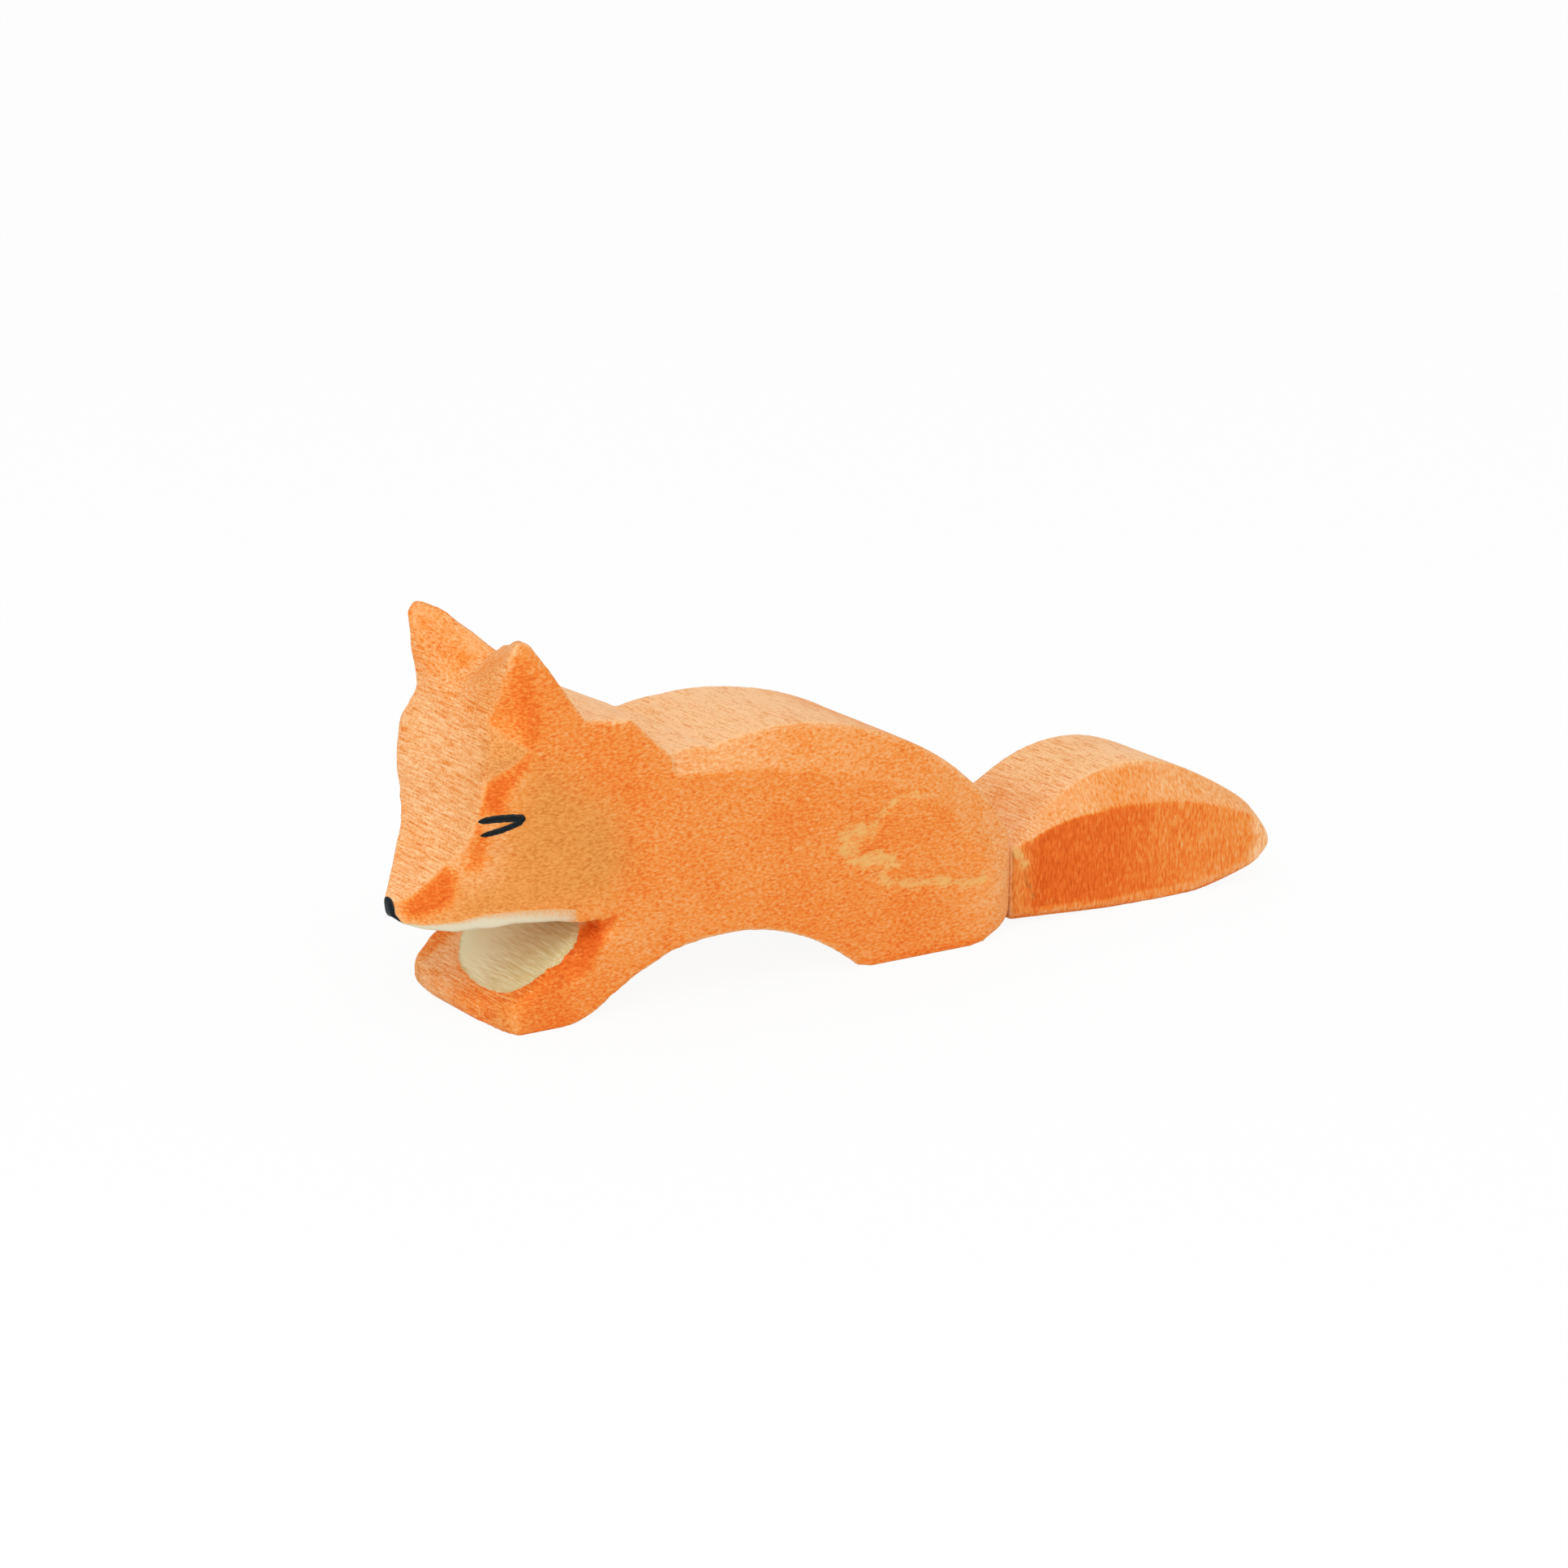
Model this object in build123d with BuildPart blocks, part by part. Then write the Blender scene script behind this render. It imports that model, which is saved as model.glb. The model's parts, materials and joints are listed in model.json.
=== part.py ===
"""A small wooden fox lying on its belly: sawn from a board, carved, stained and touched up with paint."""

import os

from build123d import *

# Driving dimensions in millimetres. Stations run along the fox from its nose, heights up from the ground.
board = 23.0  # thickness of the planed board that the body is sawn from
tail_board = 17.5  # thickness of the tail

# Underside of the body
toe_station = 7.4
toe_sweep = 2.0  # how far the outer toes lie behind the middle ones
toe_round = 0.8
toe_height = 2.3
fore_sole = 6.7
arch_span = 36.0
arch_height = 6.7
arch_peak = 20.0  # from the end of the fore sole to the highest point of the belly arch
wrist_run = 6.6  # rise behind the fore sole, before the arch rounds over
wrist_height = 3.5
hind_sole = 15.7
hind_hollow = 3.2  # plan depth of the hollow between the hind feet
heel_run = 5.5
heel_height = 2.2

# Head outline
throat_station = 19.9
jaw_height = 10.8
chin_station = 1.8
nose_height = 12.4
nose_top_station = 1.3
nose_top_height = 13.5
muzzle_station = 4.4
muzzle_height = 17.5
stop_station = 5.9
stop_height = 20.2
brow_station = 6.7
brow_height = 26.0
forehead_station = 8.0
forehead_height = 32.4
ear_front_station = 8.9
ear_front_height = 38.5
ear_tip_station = 10.0
ear_height = 41.0
ear_back_station = 12.1
ear_back_height = 39.7
ear_root_station = 17.4
ear_root_height = 32.0

# Back outline
neck_station = 23.0
neck_height = 31.3
nape_station = 33.2
nape_height = 26.5
nape_skew = 5.4  # how much further forward the nape is cut on the fox's left
nape_slope = 44.0
nape_rise = 7.0  # angle at which the cut leaves the nape towards the back
back_station = 40.8
back_height = 27.5
loin_station = 58.2
loin_height = 23.4
rump_station = 66.7
rump_height = 17.4
tail_seat_height = 9.6

# Carving of the body
back_bevel_width = 2.0
back_bevel_run = 1.6
nape_bevel_drop = 1.8
back_bevel_drop = 3.9
loin_bevel_drop = 5.0
rump_bevel_drop = 5.4
bevel_overrun = 0.5  # share of the bevel by which its cut runs past it on both sides
rump_corner = 4.6
cheek_radius = 24.0
cheek_start = 20.4  # station where the cheek leaves the side of the board
cheek_height = 18.5
cheek_drop = 0.3  # how far below the jaw the carving of the cheek starts
brow_start = 14.0  # station where the brow leaves the side of the board
brow_line = 30.0
eye_scoop_station = 8.3
eye_scoop_height = 25.8
eye_scoop_radius = 8.0
eye_scoop_depth = 0.6
ear_notch_depth = 3.95
ear_notch_height = 32.9
ear_notch_low = 27.4  # where the notch meets the side of the board below the ear
ear_notch_station = 8.0
ear_notch_fade = 2.8
ear_valley_station = 7.8
ear_valley_height = 32.3
ear_valley_slope = 47.5
ear_flare = 19.5

# Tail outline, with runs measured from its root
tail_length = 36.5
tail_root_lift = 1.0
tail_root_height = 9.2
tail_rise_run = 10.0
tail_rise_height = 14.4
tail_crest_run = 16.8
tail_crest_height = 15.8
tail_slope_run = 30.2
tail_slope_height = 11.1
tail_tip_height = 4.4
tail_rest_run = 19.8
tail_rest_gap = 0.05  # the tail stays just clear of the ground
tail_under_run = 31.0
tail_under_height = 1.5
tail_bevel_width = 2.2
tail_root_bevel_drop = 0.4
tail_rise_bevel_drop = 3.3
tail_crest_bevel_drop = 4.6
tail_slope_bevel_drop = 2.2
tail_tip_ease = 0.8  # how much shorter the tail is at its sides

# Joint of the tail
dowel_diameter = 5.0
dowel_length = 16.0
dowel_height = 5.0
dowel_end_gap = 0.5
glue_gap = 0.05

# Paint
paint_depth = 0.3
nose_cap_radius = 1.1
stripe_front_station = 2.6
stripe_middle_station = 10.4
stripe_middle_width = 1.35
stripe_back_station = 16.5
stripe_back_width = 1.7
patch_offset = 2.0  # the chest patch sits a little to the fox's left
patch_rise = 8.0  # its middle, measured up the chest from the toes
patch_width = 16.8
patch_length = 12.9
eye_station = 10.6  # rear corner of the eye, where its two strokes meet
eye_height = 22.4
eye_length = 4.2
eye_opening = 1.4  # between the front ends of the strokes
upper_lid_bow = 0.85  # how far each stroke bows up
lower_lid_bow = 0.3
lid_width = 0.8

# Derived places
half_board = board / 2
fore_sole_station = toe_station + toe_round
arch_start = fore_sole_station + fore_sole
hind_sole_station = arch_start + arch_span
body_length = hind_sole_station + hind_sole + heel_run
total_length = body_length + tail_length
nose_x = -total_length / 2
seat_x = nose_x + body_length
reach = board  # how far the cutting tools stand beyond the wood


def at(station, height):
    """A point of the body's side outline."""
    return (nose_x + station, height)


def at_tail(run, height):
    """A point of the tail's side outline."""
    return (seat_x + run, height)


def cheek_section(height, start, sunk):
    """Level section of the wood carved away beside the head, sunk into the cheek by a paint's depth."""
    edge = nose_x + start
    with BuildSketch(Plane.XY.offset(height)) as section:
        with Locations((edge, 0)):
            Rectangle(start + reach, half_board + reach, align=(Align.MAX, Align.MIN))
        with Locations((edge, half_board - cheek_radius)):
            Circle(cheek_radius - sunk, mode=Mode.SUBTRACT)
    return section.sketch


def head_waste(sunk=0):
    """Wood carved away beside the head on the fox's right: the cheek and the dish under the brow."""
    places = (
        (jaw_height - cheek_drop, cheek_start),
        (cheek_height, cheek_start),
        (brow_line, brow_start),
        (ear_height + reach, brow_start),
    )
    lean = (brow_start - cheek_start) / (brow_line - cheek_height)
    start = cheek_start + lean * (eye_scoop_height - cheek_height)
    across = (cheek_radius**2 - (start - eye_scoop_station) ** 2) ** 0.5
    stand_off = 1 + (eye_scoop_radius - eye_scoop_depth) / cheek_radius
    dish_x = nose_x + start + stand_off * (eye_scoop_station - start)
    dish_y = half_board + stand_off * across - cheek_radius
    with BuildPart() as waste:
        loft([cheek_section(height, start, sunk) for height, start in places], ruled=True)
        with Locations((dish_x, dish_y, eye_scoop_height)):
            Sphere(eye_scoop_radius + sunk)
    return waste.part


def notch_section(x, depth):
    """Section across the notch below the ear: deepest at its root, level with the board above and below."""
    outside = half_board + reach
    with BuildSketch(Plane.YZ.offset(x)) as section:
        with BuildLine():
            Polyline(
                (half_board - depth, ear_notch_height),
                (half_board, ear_height),
                (outside, ear_height),
                (outside, ear_notch_low),
                (half_board, ear_notch_low),
                close=True,
            )
        make_face()
    return section.sketch


def arch_section(y, hollow):
    """Side outline of the belly arch at one distance from the middle of the fox."""
    with BuildSketch(Plane.XZ.offset(-y)) as section:
        with BuildLine():
            arch_end = at(hind_sole_station + hollow, 0)
            Line(at(arch_start, 0), arch_end)
            Spline(
                arch_end,
                at(arch_start + arch_peak, arch_height),
                at(arch_start + wrist_run, wrist_height),
                at(arch_start, 0),
                tangents=((-1, 0.85), (-1, -0.2)),
            )
        make_face()
    return section.sketch


def bevel_section(side, share, start):
    """Side outline of the wood above the back's bevel, a share of the way down from its upper edge."""
    run = share * back_bevel_run
    corner = at(body_length + reach, ear_height)
    with BuildSketch(Plane.XZ.offset(-side * (half_board - (1 - share) * back_bevel_width))) as section:
        with BuildLine():
            first = at(start, nape_height - share * nape_bevel_drop)
            last = at(body_length - run, tail_seat_height - share * rump_bevel_drop)
            Spline(
                first,
                at(back_station - run, back_height - share * back_bevel_drop),
                at(loin_station - run, loin_height - share * loin_bevel_drop),
                at(rump_station - run, rump_height - share * rump_bevel_drop),
                last,
            )
            Polyline(last, (corner[0], last[1]), corner, (first[0], corner[1]), first)
        make_face()
    return section.sketch


def bevel_waste(side, start):
    """Wood carved off one upper edge of the back, with a tool that stands clear of the wood."""
    with BuildPart() as waste:
        loft(
            [bevel_section(side, -bevel_overrun, start), bevel_section(side, 1 + bevel_overrun, start)],
            ruled=True,
        )
    return waste.part


def tail_section(y, share):
    """Side outline of the tail at one distance from its middle, a share of the way down its bevel."""
    with BuildSketch(Plane.XZ.offset(-y)) as section:
        with BuildLine():
            root_low = at_tail(0, tail_root_lift)
            root_high = at_tail(0, tail_root_height - share * tail_root_bevel_drop)
            tip = at_tail(tail_length - share * tail_tip_ease, tail_tip_height)
            Line(root_high, root_low)
            Spline(
                root_low,
                at_tail(tail_rest_run, tail_rest_gap),
                at_tail(tail_under_run, tail_under_height),
                tip,
                tangents=((1, -0.05), (0.5, 1)),
            )
            Spline(
                tip,
                at_tail(tail_slope_run, tail_slope_height - share * tail_slope_bevel_drop),
                at_tail(tail_crest_run, tail_crest_height - share * tail_crest_bevel_drop),
                at_tail(tail_rise_run, tail_rise_height - share * tail_rise_bevel_drop),
                root_high,
                tangents=((-0.3, 1), (-1, -0.4)),
            )
        make_face()
    return section.sketch


# Notch below the ear on the fox's right: it runs back from the face and fades out behind the ear
notch_x = nose_x + ear_notch_station
with BuildPart() as ear_notch:
    loft(
        [
            notch_section(nose_x - reach, ear_notch_depth),
            notch_section(notch_x, ear_notch_depth),
            notch_section(notch_x + ear_notch_fade, 0),
        ],
        ruled=True,
    )

# Valley between the ears: a wide V that rises from the forehead to the back of the head
valley_plane = Plane(
    origin=(nose_x + ear_valley_station, 0, ear_valley_height),
    x_dir=(0, 1, 0),
    z_dir=Vector(1, 0, 0).rotate(Axis.Y, -ear_valley_slope),
)
with BuildPart() as ear_valley:
    with BuildSketch(valley_plane):
        with BuildLine():
            flank = PolarLine((0, 0), reach, ear_flare)
            Polyline(flank @ 1, (0, 2 * reach), (0, 0))
        make_face()
        mirror(about=Plane.YZ)
    extrude(amount=reach, both=True)

# Rounded rear corner on the fox's right
with BuildPart() as rump_waste:
    with BuildSketch():
        with Locations((seat_x - rump_corner, half_board - rump_corner)):
            Rectangle(reach, reach, align=Align.MIN)
            Circle(rump_corner, mode=Mode.SUBTRACT)
    extrude(amount=back_height)

# Sweep of the toes
toe_x = nose_x + toe_station
with BuildPart() as toe_waste:
    with BuildSketch():
        with BuildLine():
            ThreePointArc((toe_x + toe_sweep, -half_board), (toe_x, 0), (toe_x + toe_sweep, half_board))
            Polyline(
                (toe_x + toe_sweep, half_board),
                (toe_x - reach, half_board),
                (toe_x - reach, -half_board),
                (toe_x + toe_sweep, -half_board),
            )
        make_face()
    extrude(amount=jaw_height - cheek_drop)

# Belly arch, hollowed between the hind feet
with BuildPart() as arch:
    loft([arch_section(-half_board, 0), arch_section(0, hind_hollow), arch_section(half_board, 0)])

# Nape: a cut that runs askew across the back of the neck
with BuildPart() as nape:
    with BuildSketch(Plane.XZ.offset(half_board)):
        with BuildLine():
            nape_point = at(nape_station - nape_skew, nape_height)
            neck_edge = PolarLine(nape_point, 2 * reach, 180 - nape_slope)
            back_edge = PolarLine(nape_point, reach, nape_rise)
            Polyline(neck_edge @ 1, ((back_edge @ 1).X, (neck_edge @ 1).Y), back_edge @ 1)
        make_face()
    extrude(amount=(nape_skew**2 + board**2) ** 0.5, dir=(nape_skew, board, 0))

# Carved wood: the side outline through the whole board, then the cuts
with BuildPart() as carved:
    with BuildSketch(Plane.XZ.offset(half_board)):
        with BuildLine():
            Line(at(body_length - heel_run, 0), at(fore_sole_station, 0))
            ThreePointArc(
                at(fore_sole_station, 0),
                at(toe_station, toe_height / 2),
                at(fore_sole_station, toe_height),
            )
            Line(at(fore_sole_station, toe_height), at(throat_station, jaw_height))
            Line(at(throat_station, jaw_height), at(chin_station, jaw_height))
            ThreePointArc(
                at(chin_station, jaw_height),
                at(0, nose_height),
                at(nose_top_station, nose_top_height),
            )
            Spline(
                at(nose_top_station, nose_top_height),
                at(muzzle_station, muzzle_height),
                at(stop_station, stop_height),
                at(brow_station, brow_height),
                at(forehead_station, forehead_height),
                at(ear_front_station, ear_front_height),
            )
            ThreePointArc(
                at(ear_front_station, ear_front_height),
                at(ear_tip_station, ear_height),
                at(ear_back_station, ear_back_height),
            )
            Line(at(ear_back_station, ear_back_height), at(ear_root_station, ear_root_height))
            Polyline(
                at(ear_root_station, ear_root_height),
                at(neck_station, neck_height),
                at(nape_station, nape_height),
            )
            Spline(
                at(nape_station, nape_height),
                at(back_station, back_height),
                at(loin_station, loin_height),
                at(rump_station, rump_height),
                at(body_length, tail_seat_height),
            )
            Line(at(body_length, tail_seat_height), at(body_length, heel_height))
            Line(at(body_length, heel_height), at(body_length - heel_run, 0))
        make_face()
    extrude(amount=-board)

    # Cuts on both sides, then those through the middle
    for waste in (head_waste(), ear_notch.part, rump_waste.part):
        add(waste, mode=Mode.SUBTRACT)
        mirror(waste, about=Plane.XZ, mode=Mode.SUBTRACT)
    add(bevel_waste(-1, nape_station - nape_skew), mode=Mode.SUBTRACT)
    add(bevel_waste(1, nape_station), mode=Mode.SUBTRACT)
    for waste in (ear_valley, nape, toe_waste, arch):
        add(waste.part, mode=Mode.SUBTRACT)

# Tail, with bevels along its top
half_tail = tail_board / 2
with BuildPart() as tail_wood:
    loft(
        [
            tail_section(-half_tail, 1),
            tail_section(tail_bevel_width - half_tail, 0),
            tail_section(half_tail - tail_bevel_width, 0),
            tail_section(half_tail, 1),
        ],
        ruled=True,
    )

# Dowel that holds the tail, and the blind holes for it
with BuildPart() as tail_dowel:
    with BuildSketch(Plane.YZ.offset(seat_x - dowel_length / 2)):
        with Locations((0, dowel_height)):
            Circle(dowel_diameter / 2)
    extrude(amount=dowel_length)

hole_length = dowel_length + 2 * dowel_end_gap
with BuildPart() as dowel_hole:
    with BuildSketch(Plane.YZ.offset(seat_x - hole_length / 2)):
        with Locations((0, dowel_height)):
            Circle(dowel_diameter / 2 + glue_gap)
    extrude(amount=hole_length)

# Stripe along the jaw on the fox's right
skin = head_waste(paint_depth)
with BuildPart() as right_jaw_stripe:
    with BuildSketch(Plane.XZ):
        with BuildLine():
            front = at(stripe_front_station, jaw_height)
            back = at(stripe_back_station, jaw_height)
            back_top = at(stripe_back_station, jaw_height + stripe_back_width)
            ThreePointArc(front, at(stripe_middle_station, jaw_height + stripe_middle_width), back_top)
            Polyline(back_top, back, front)
        make_face()
    extrude(amount=-reach)
    add(skin, mode=Mode.INTERSECT)
    add(carved.part, mode=Mode.INTERSECT)

# Eye on the fox's right: two strokes that meet at the rear corner
with BuildPart() as right_eye:
    with BuildSketch(Plane.XZ):
        rear = at(eye_station, eye_height)
        for drop, bow in ((0, upper_lid_bow), (eye_opening, lower_lid_bow)):
            tip = at(eye_station - eye_length, eye_height - drop)
            middle = at(eye_station - eye_length / 2, eye_height - drop / 2 + bow)
            with BuildLine():
                ThreePointArc(rear, middle, tip)
                ThreePointArc(rear, (middle[0], middle[1] - lid_width), tip)
            make_face()
        with Locations(rear):
            Circle(lid_width / 2)
    extrude(amount=-reach)
    add(skin, mode=Mode.INTERSECT)
    add(carved.part, mode=Mode.INTERSECT)

# The same on the fox's left
with BuildPart() as left_jaw_stripe:
    mirror(right_jaw_stripe.part, about=Plane.XZ)

with BuildPart() as left_eye:
    mirror(right_eye.part, about=Plane.XZ)

# Tip of the nose
with BuildPart() as nose_cap:
    with Locations((nose_x, 0, nose_height)):
        Sphere(nose_cap_radius)
    add(carved.part, mode=Mode.INTERSECT)

# Patch on the chest
chest_run = throat_station - fore_sole_station
chest_rise = jaw_height - toe_height
chest = Plane(
    origin=(nose_x + fore_sole_station, 0, toe_height),
    x_dir=(0, -1, 0),
    z_dir=(-chest_rise, 0, chest_run),
)
with BuildPart() as chest_patch:
    with BuildSketch(chest):
        with Locations((patch_offset, patch_rise)):
            Ellipse(patch_width / 2, patch_length / 2)
        Rectangle(
            board,
            (chest_run**2 + chest_rise**2) ** 0.5,
            align=(Align.CENTER, Align.MIN),
            mode=Mode.INTERSECT,
        )
    extrude(amount=-paint_depth)
    add(carved.part, mode=Mode.INTERSECT)

# Body: the carved wood without the paint and the dowel's hole
paint = (chest_patch, left_jaw_stripe, right_jaw_stripe, nose_cap, left_eye, right_eye)
with BuildPart() as body:
    add(carved.part)
    for piece in (*paint, dowel_hole):
        add(piece.part, mode=Mode.SUBTRACT)

with BuildPart() as tail:
    add(tail_wood.part)
    add(dowel_hole.part, mode=Mode.SUBTRACT)

body.part.label = "body"
tail.part.label = "tail"
tail_dowel.part.label = "tail_dowel"
chest_patch.part.label = "chest_patch"
left_jaw_stripe.part.label = "left_jaw_stripe"
right_jaw_stripe.part.label = "right_jaw_stripe"
nose_cap.part.label = "nose_cap"
left_eye.part.label = "left_eye"
right_eye.part.label = "right_eye"

os.makedirs("parts", exist_ok=True)
export_step(body.part, "parts/body.step")
export_step(tail.part, "parts/tail.step")
export_step(tail_dowel.part, "parts/tail_dowel.step")
export_step(chest_patch.part, "parts/chest_patch.step")
export_step(left_jaw_stripe.part, "parts/left_jaw_stripe.step")
export_step(right_jaw_stripe.part, "parts/right_jaw_stripe.step")
export_step(nose_cap.part, "parts/nose_cap.step")
export_step(left_eye.part, "parts/left_eye.step")
export_step(right_eye.part, "parts/right_eye.step")
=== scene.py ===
# %% [markdown]
# # A small wooden fox: carved, stained and painted
# The fox is drawn already, as exact solids with sharp edges. This lesson turns them into the thing
# that lies on the table: edges that a knife and a cloth have softened, a thin orange stain that lets
# the wood show through, and a few touches of brush paint. First the solids are loaded. They stay as
# they are, and every new piece is made in the same place, in metres.

# %% Load the solids
import json
import math

import bmesh
import bpy
import numpy as np
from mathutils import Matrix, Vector, noise
from mathutils.bvhtree import BVHTree

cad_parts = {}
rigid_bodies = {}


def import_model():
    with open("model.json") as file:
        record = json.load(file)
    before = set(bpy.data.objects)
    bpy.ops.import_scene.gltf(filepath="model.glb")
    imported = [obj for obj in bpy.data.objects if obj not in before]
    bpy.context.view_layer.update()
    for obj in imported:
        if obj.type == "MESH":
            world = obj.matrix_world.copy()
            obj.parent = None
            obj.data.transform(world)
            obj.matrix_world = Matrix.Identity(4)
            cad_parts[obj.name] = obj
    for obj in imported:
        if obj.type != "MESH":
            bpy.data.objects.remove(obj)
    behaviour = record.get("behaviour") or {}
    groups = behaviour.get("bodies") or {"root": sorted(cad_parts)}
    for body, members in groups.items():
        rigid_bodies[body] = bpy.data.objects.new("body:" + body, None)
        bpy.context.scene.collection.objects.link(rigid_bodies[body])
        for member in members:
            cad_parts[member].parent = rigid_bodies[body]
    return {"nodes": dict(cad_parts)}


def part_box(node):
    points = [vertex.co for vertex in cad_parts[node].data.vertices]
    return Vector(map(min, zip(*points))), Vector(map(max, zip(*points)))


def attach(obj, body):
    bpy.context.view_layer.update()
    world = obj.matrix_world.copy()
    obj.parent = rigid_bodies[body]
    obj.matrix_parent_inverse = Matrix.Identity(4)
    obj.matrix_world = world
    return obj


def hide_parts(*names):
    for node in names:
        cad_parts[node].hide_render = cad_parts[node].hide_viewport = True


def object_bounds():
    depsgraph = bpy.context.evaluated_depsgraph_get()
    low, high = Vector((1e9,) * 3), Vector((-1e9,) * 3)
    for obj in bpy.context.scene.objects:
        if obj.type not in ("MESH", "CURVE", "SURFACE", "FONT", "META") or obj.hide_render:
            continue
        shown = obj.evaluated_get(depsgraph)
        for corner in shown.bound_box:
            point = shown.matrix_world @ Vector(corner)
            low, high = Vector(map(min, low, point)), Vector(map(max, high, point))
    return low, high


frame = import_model()
cad_low, cad_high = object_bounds()
mm = 0.001
print("Solids:", ", ".join(sorted(frame["nodes"])))
print("Size in mm:", [round(length / mm, 1) for length in cad_high - cad_low])

# %% [markdown]
# ## Where things are
# A carver speaks of a place on the fox by how far it lies behind the nose, how far off the middle and
# how high up. The same three numbers, in millimetres, are used all through this lesson. The fox's
# left, which the picture shows, has a negative distance off the middle.

# %% Places on the fox


def spot(station, side, height):
    """A place in metres: behind the nose, off the middle and above the ground, in millimetres."""
    return Vector((cad_low.x + station * mm, side * mm, height * mm))


def read_places(piece):
    """Every vertex of a piece as station, side and height in millimetres."""
    flat = np.empty(len(piece.data.vertices) * 3)
    piece.data.vertices.foreach_get("co", flat)
    return (flat.reshape(-1, 3) - (cad_low.x, 0, 0)) / mm


def write_places(piece, places):
    """Puts the vertices of a piece at the given stations, sides and heights."""
    piece.data.vertices.foreach_set("co", (places * mm + (cad_low.x, 0, 0)).ravel())
    piece.data.update()


half_board = cad_high.y / mm
body_length = (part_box("tail")[0].x - cad_low.x) / mm
print("Half the board:", round(half_board, 2), "mm, body:", round(body_length, 1), "mm long")

# %% [markdown]
# ## Camera
# The picture was taken from a little above and from the front left, with a long lens, so the fox
# shows hardly any perspective. A camera is an object like any other: it gets a place, two angles and a
# lens. The lens follows from the focal length in pixels, because Blender's sensor is 36 mm wide.

# %% Put up the camera
scene = bpy.context.scene
picture_width = 1932
focal_pixels = 6000
camera_turn = -32.53
camera_tilt = 74.09
camera_place = (-0.2757, -0.42302, 0.161)

camera_data = bpy.data.cameras.new("camera")
camera_data.lens = camera_data.sensor_width * focal_pixels / picture_width
camera = bpy.data.objects.new("camera", camera_data)
camera.location = camera_place
camera.rotation_euler = (math.radians(camera_tilt), 0, math.radians(camera_turn))
scene.collection.objects.link(camera)
scene.camera = camera
scene.view_settings.view_transform = "Standard"
print("Lens:", round(camera_data.lens, 1), "mm")

# %% [markdown]
# ## Writing shaders as sums
# A material in Blender is a graph of nodes. Long graphs are hard to read, so one small class wraps a
# socket: adding or multiplying two wrapped sockets adds the Math node that does it. Every other node
# comes from one method, which takes the node's type, its settings and what goes into its sockets.

# %% A socket that can be summed


class Tone:
    """A value in a shader, which takes part in Python sums."""

    def __init__(self, tree, socket=None):
        self.tree = tree
        self.socket = socket

    def node(self, kind, settings=None, sockets=None, output=0):
        """Any node: its settings first, then the values or links of its sockets."""
        made = self.tree.nodes.new(kind)
        for name, value in (settings or {}).items():
            if name == "stops":
                ramp = made.color_ramp.elements
                for index, (place, colour) in enumerate(value):
                    stop = ramp[index] if index < 2 else ramp.new(place)
                    stop.position = place
                    stop.color = (*colour, 1)
            else:
                setattr(made, name, value)
        for name, value in (sockets or {}).items():
            if isinstance(value, Tone):
                self.tree.links.new(value.socket, made.inputs[name])
            else:
                made.inputs[name].default_value = value
        return Tone(self.tree, None if output is None else made.outputs[output])

    def sum(self, operation, first, second):
        """One Math node."""
        return self.node("ShaderNodeMath", {"operation": operation}, {0: first, 1: second})

    def __add__(self, other):
        return self.sum("ADD", self, other)

    def __sub__(self, other):
        return self.sum("SUBTRACT", self, other)

    def __rsub__(self, other):
        return self.sum("SUBTRACT", other, self)

    def __mul__(self, other):
        return self.sum("MULTIPLY", self, other)

    __radd__ = __add__
    __rmul__ = __mul__


def start_material(name):
    """A material with its nodes cleared, and the tone that starts its graph."""
    material = bpy.data.materials.new(name)
    material.use_nodes = True
    material.node_tree.nodes.clear()
    return material, Tone(material.node_tree)


def end_material(start, shader):
    """Links a finished shader to the material's output."""
    start.node("ShaderNodeOutputMaterial", {}, {"Surface": shader}, None)


def mix_colours(share, first, second):
    """A colour between two others."""
    return share.node(
        "ShaderNodeMix",
        {"data_type": "RGBA"},
        {"Factor": share, 6: first, 7: second},
        2,
    )


def rise(value, low, high):
    """0 below low, 1 above high and a smooth climb between them."""
    return value.node(
        "ShaderNodeMapRange",
        {"interpolation_type": "SMOOTHSTEP"},
        {"Value": value, "From Min": low, "From Max": high},
    )


print("Shader sums are ready")

# %% [markdown]
# ## Table
# The fox stands on a plain white table. Strong lamps could make it look white, but they would bleach
# the fox as well. So the table is white to the camera and to reflections only, by way of the Light Path
# node, and what is left of its own colour keeps a faint shadow.

# %% Lay the table
table_width = 3.0
table_drop = 0.02 * mm  # the soles don't quite share the table's plane
table_white = 0.9
table_glow = 0.93  # share of plain white in what the camera sees of the table


def seen_directly(start):
    """1 for the camera and for what shiny or clear things reflect, 0 for light that falls on things."""
    path = start.node("ShaderNodeLightPath", {}, {}, "Is Camera Ray")
    ways = path.socket.node.outputs
    shiny = Tone(start.tree, ways["Is Glossy Ray"])
    clear = Tone(start.tree, ways["Is Transmission Ray"])
    return path.sum("MAXIMUM", path, path.sum("MAXIMUM", shiny, clear))


table_paint, start = start_material("table_paint")
end_material(start, start.node("ShaderNodeMixShader", {}, {
    0: seen_directly(start) * table_glow,
    1: start.node("ShaderNodeBsdfDiffuse", {}, {"Color": (table_white, table_white, table_white, 1)}),
    2: start.node("ShaderNodeEmission", {}, {"Color": (1, 1, 1, 1), "Strength": 1}),
}))

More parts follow.
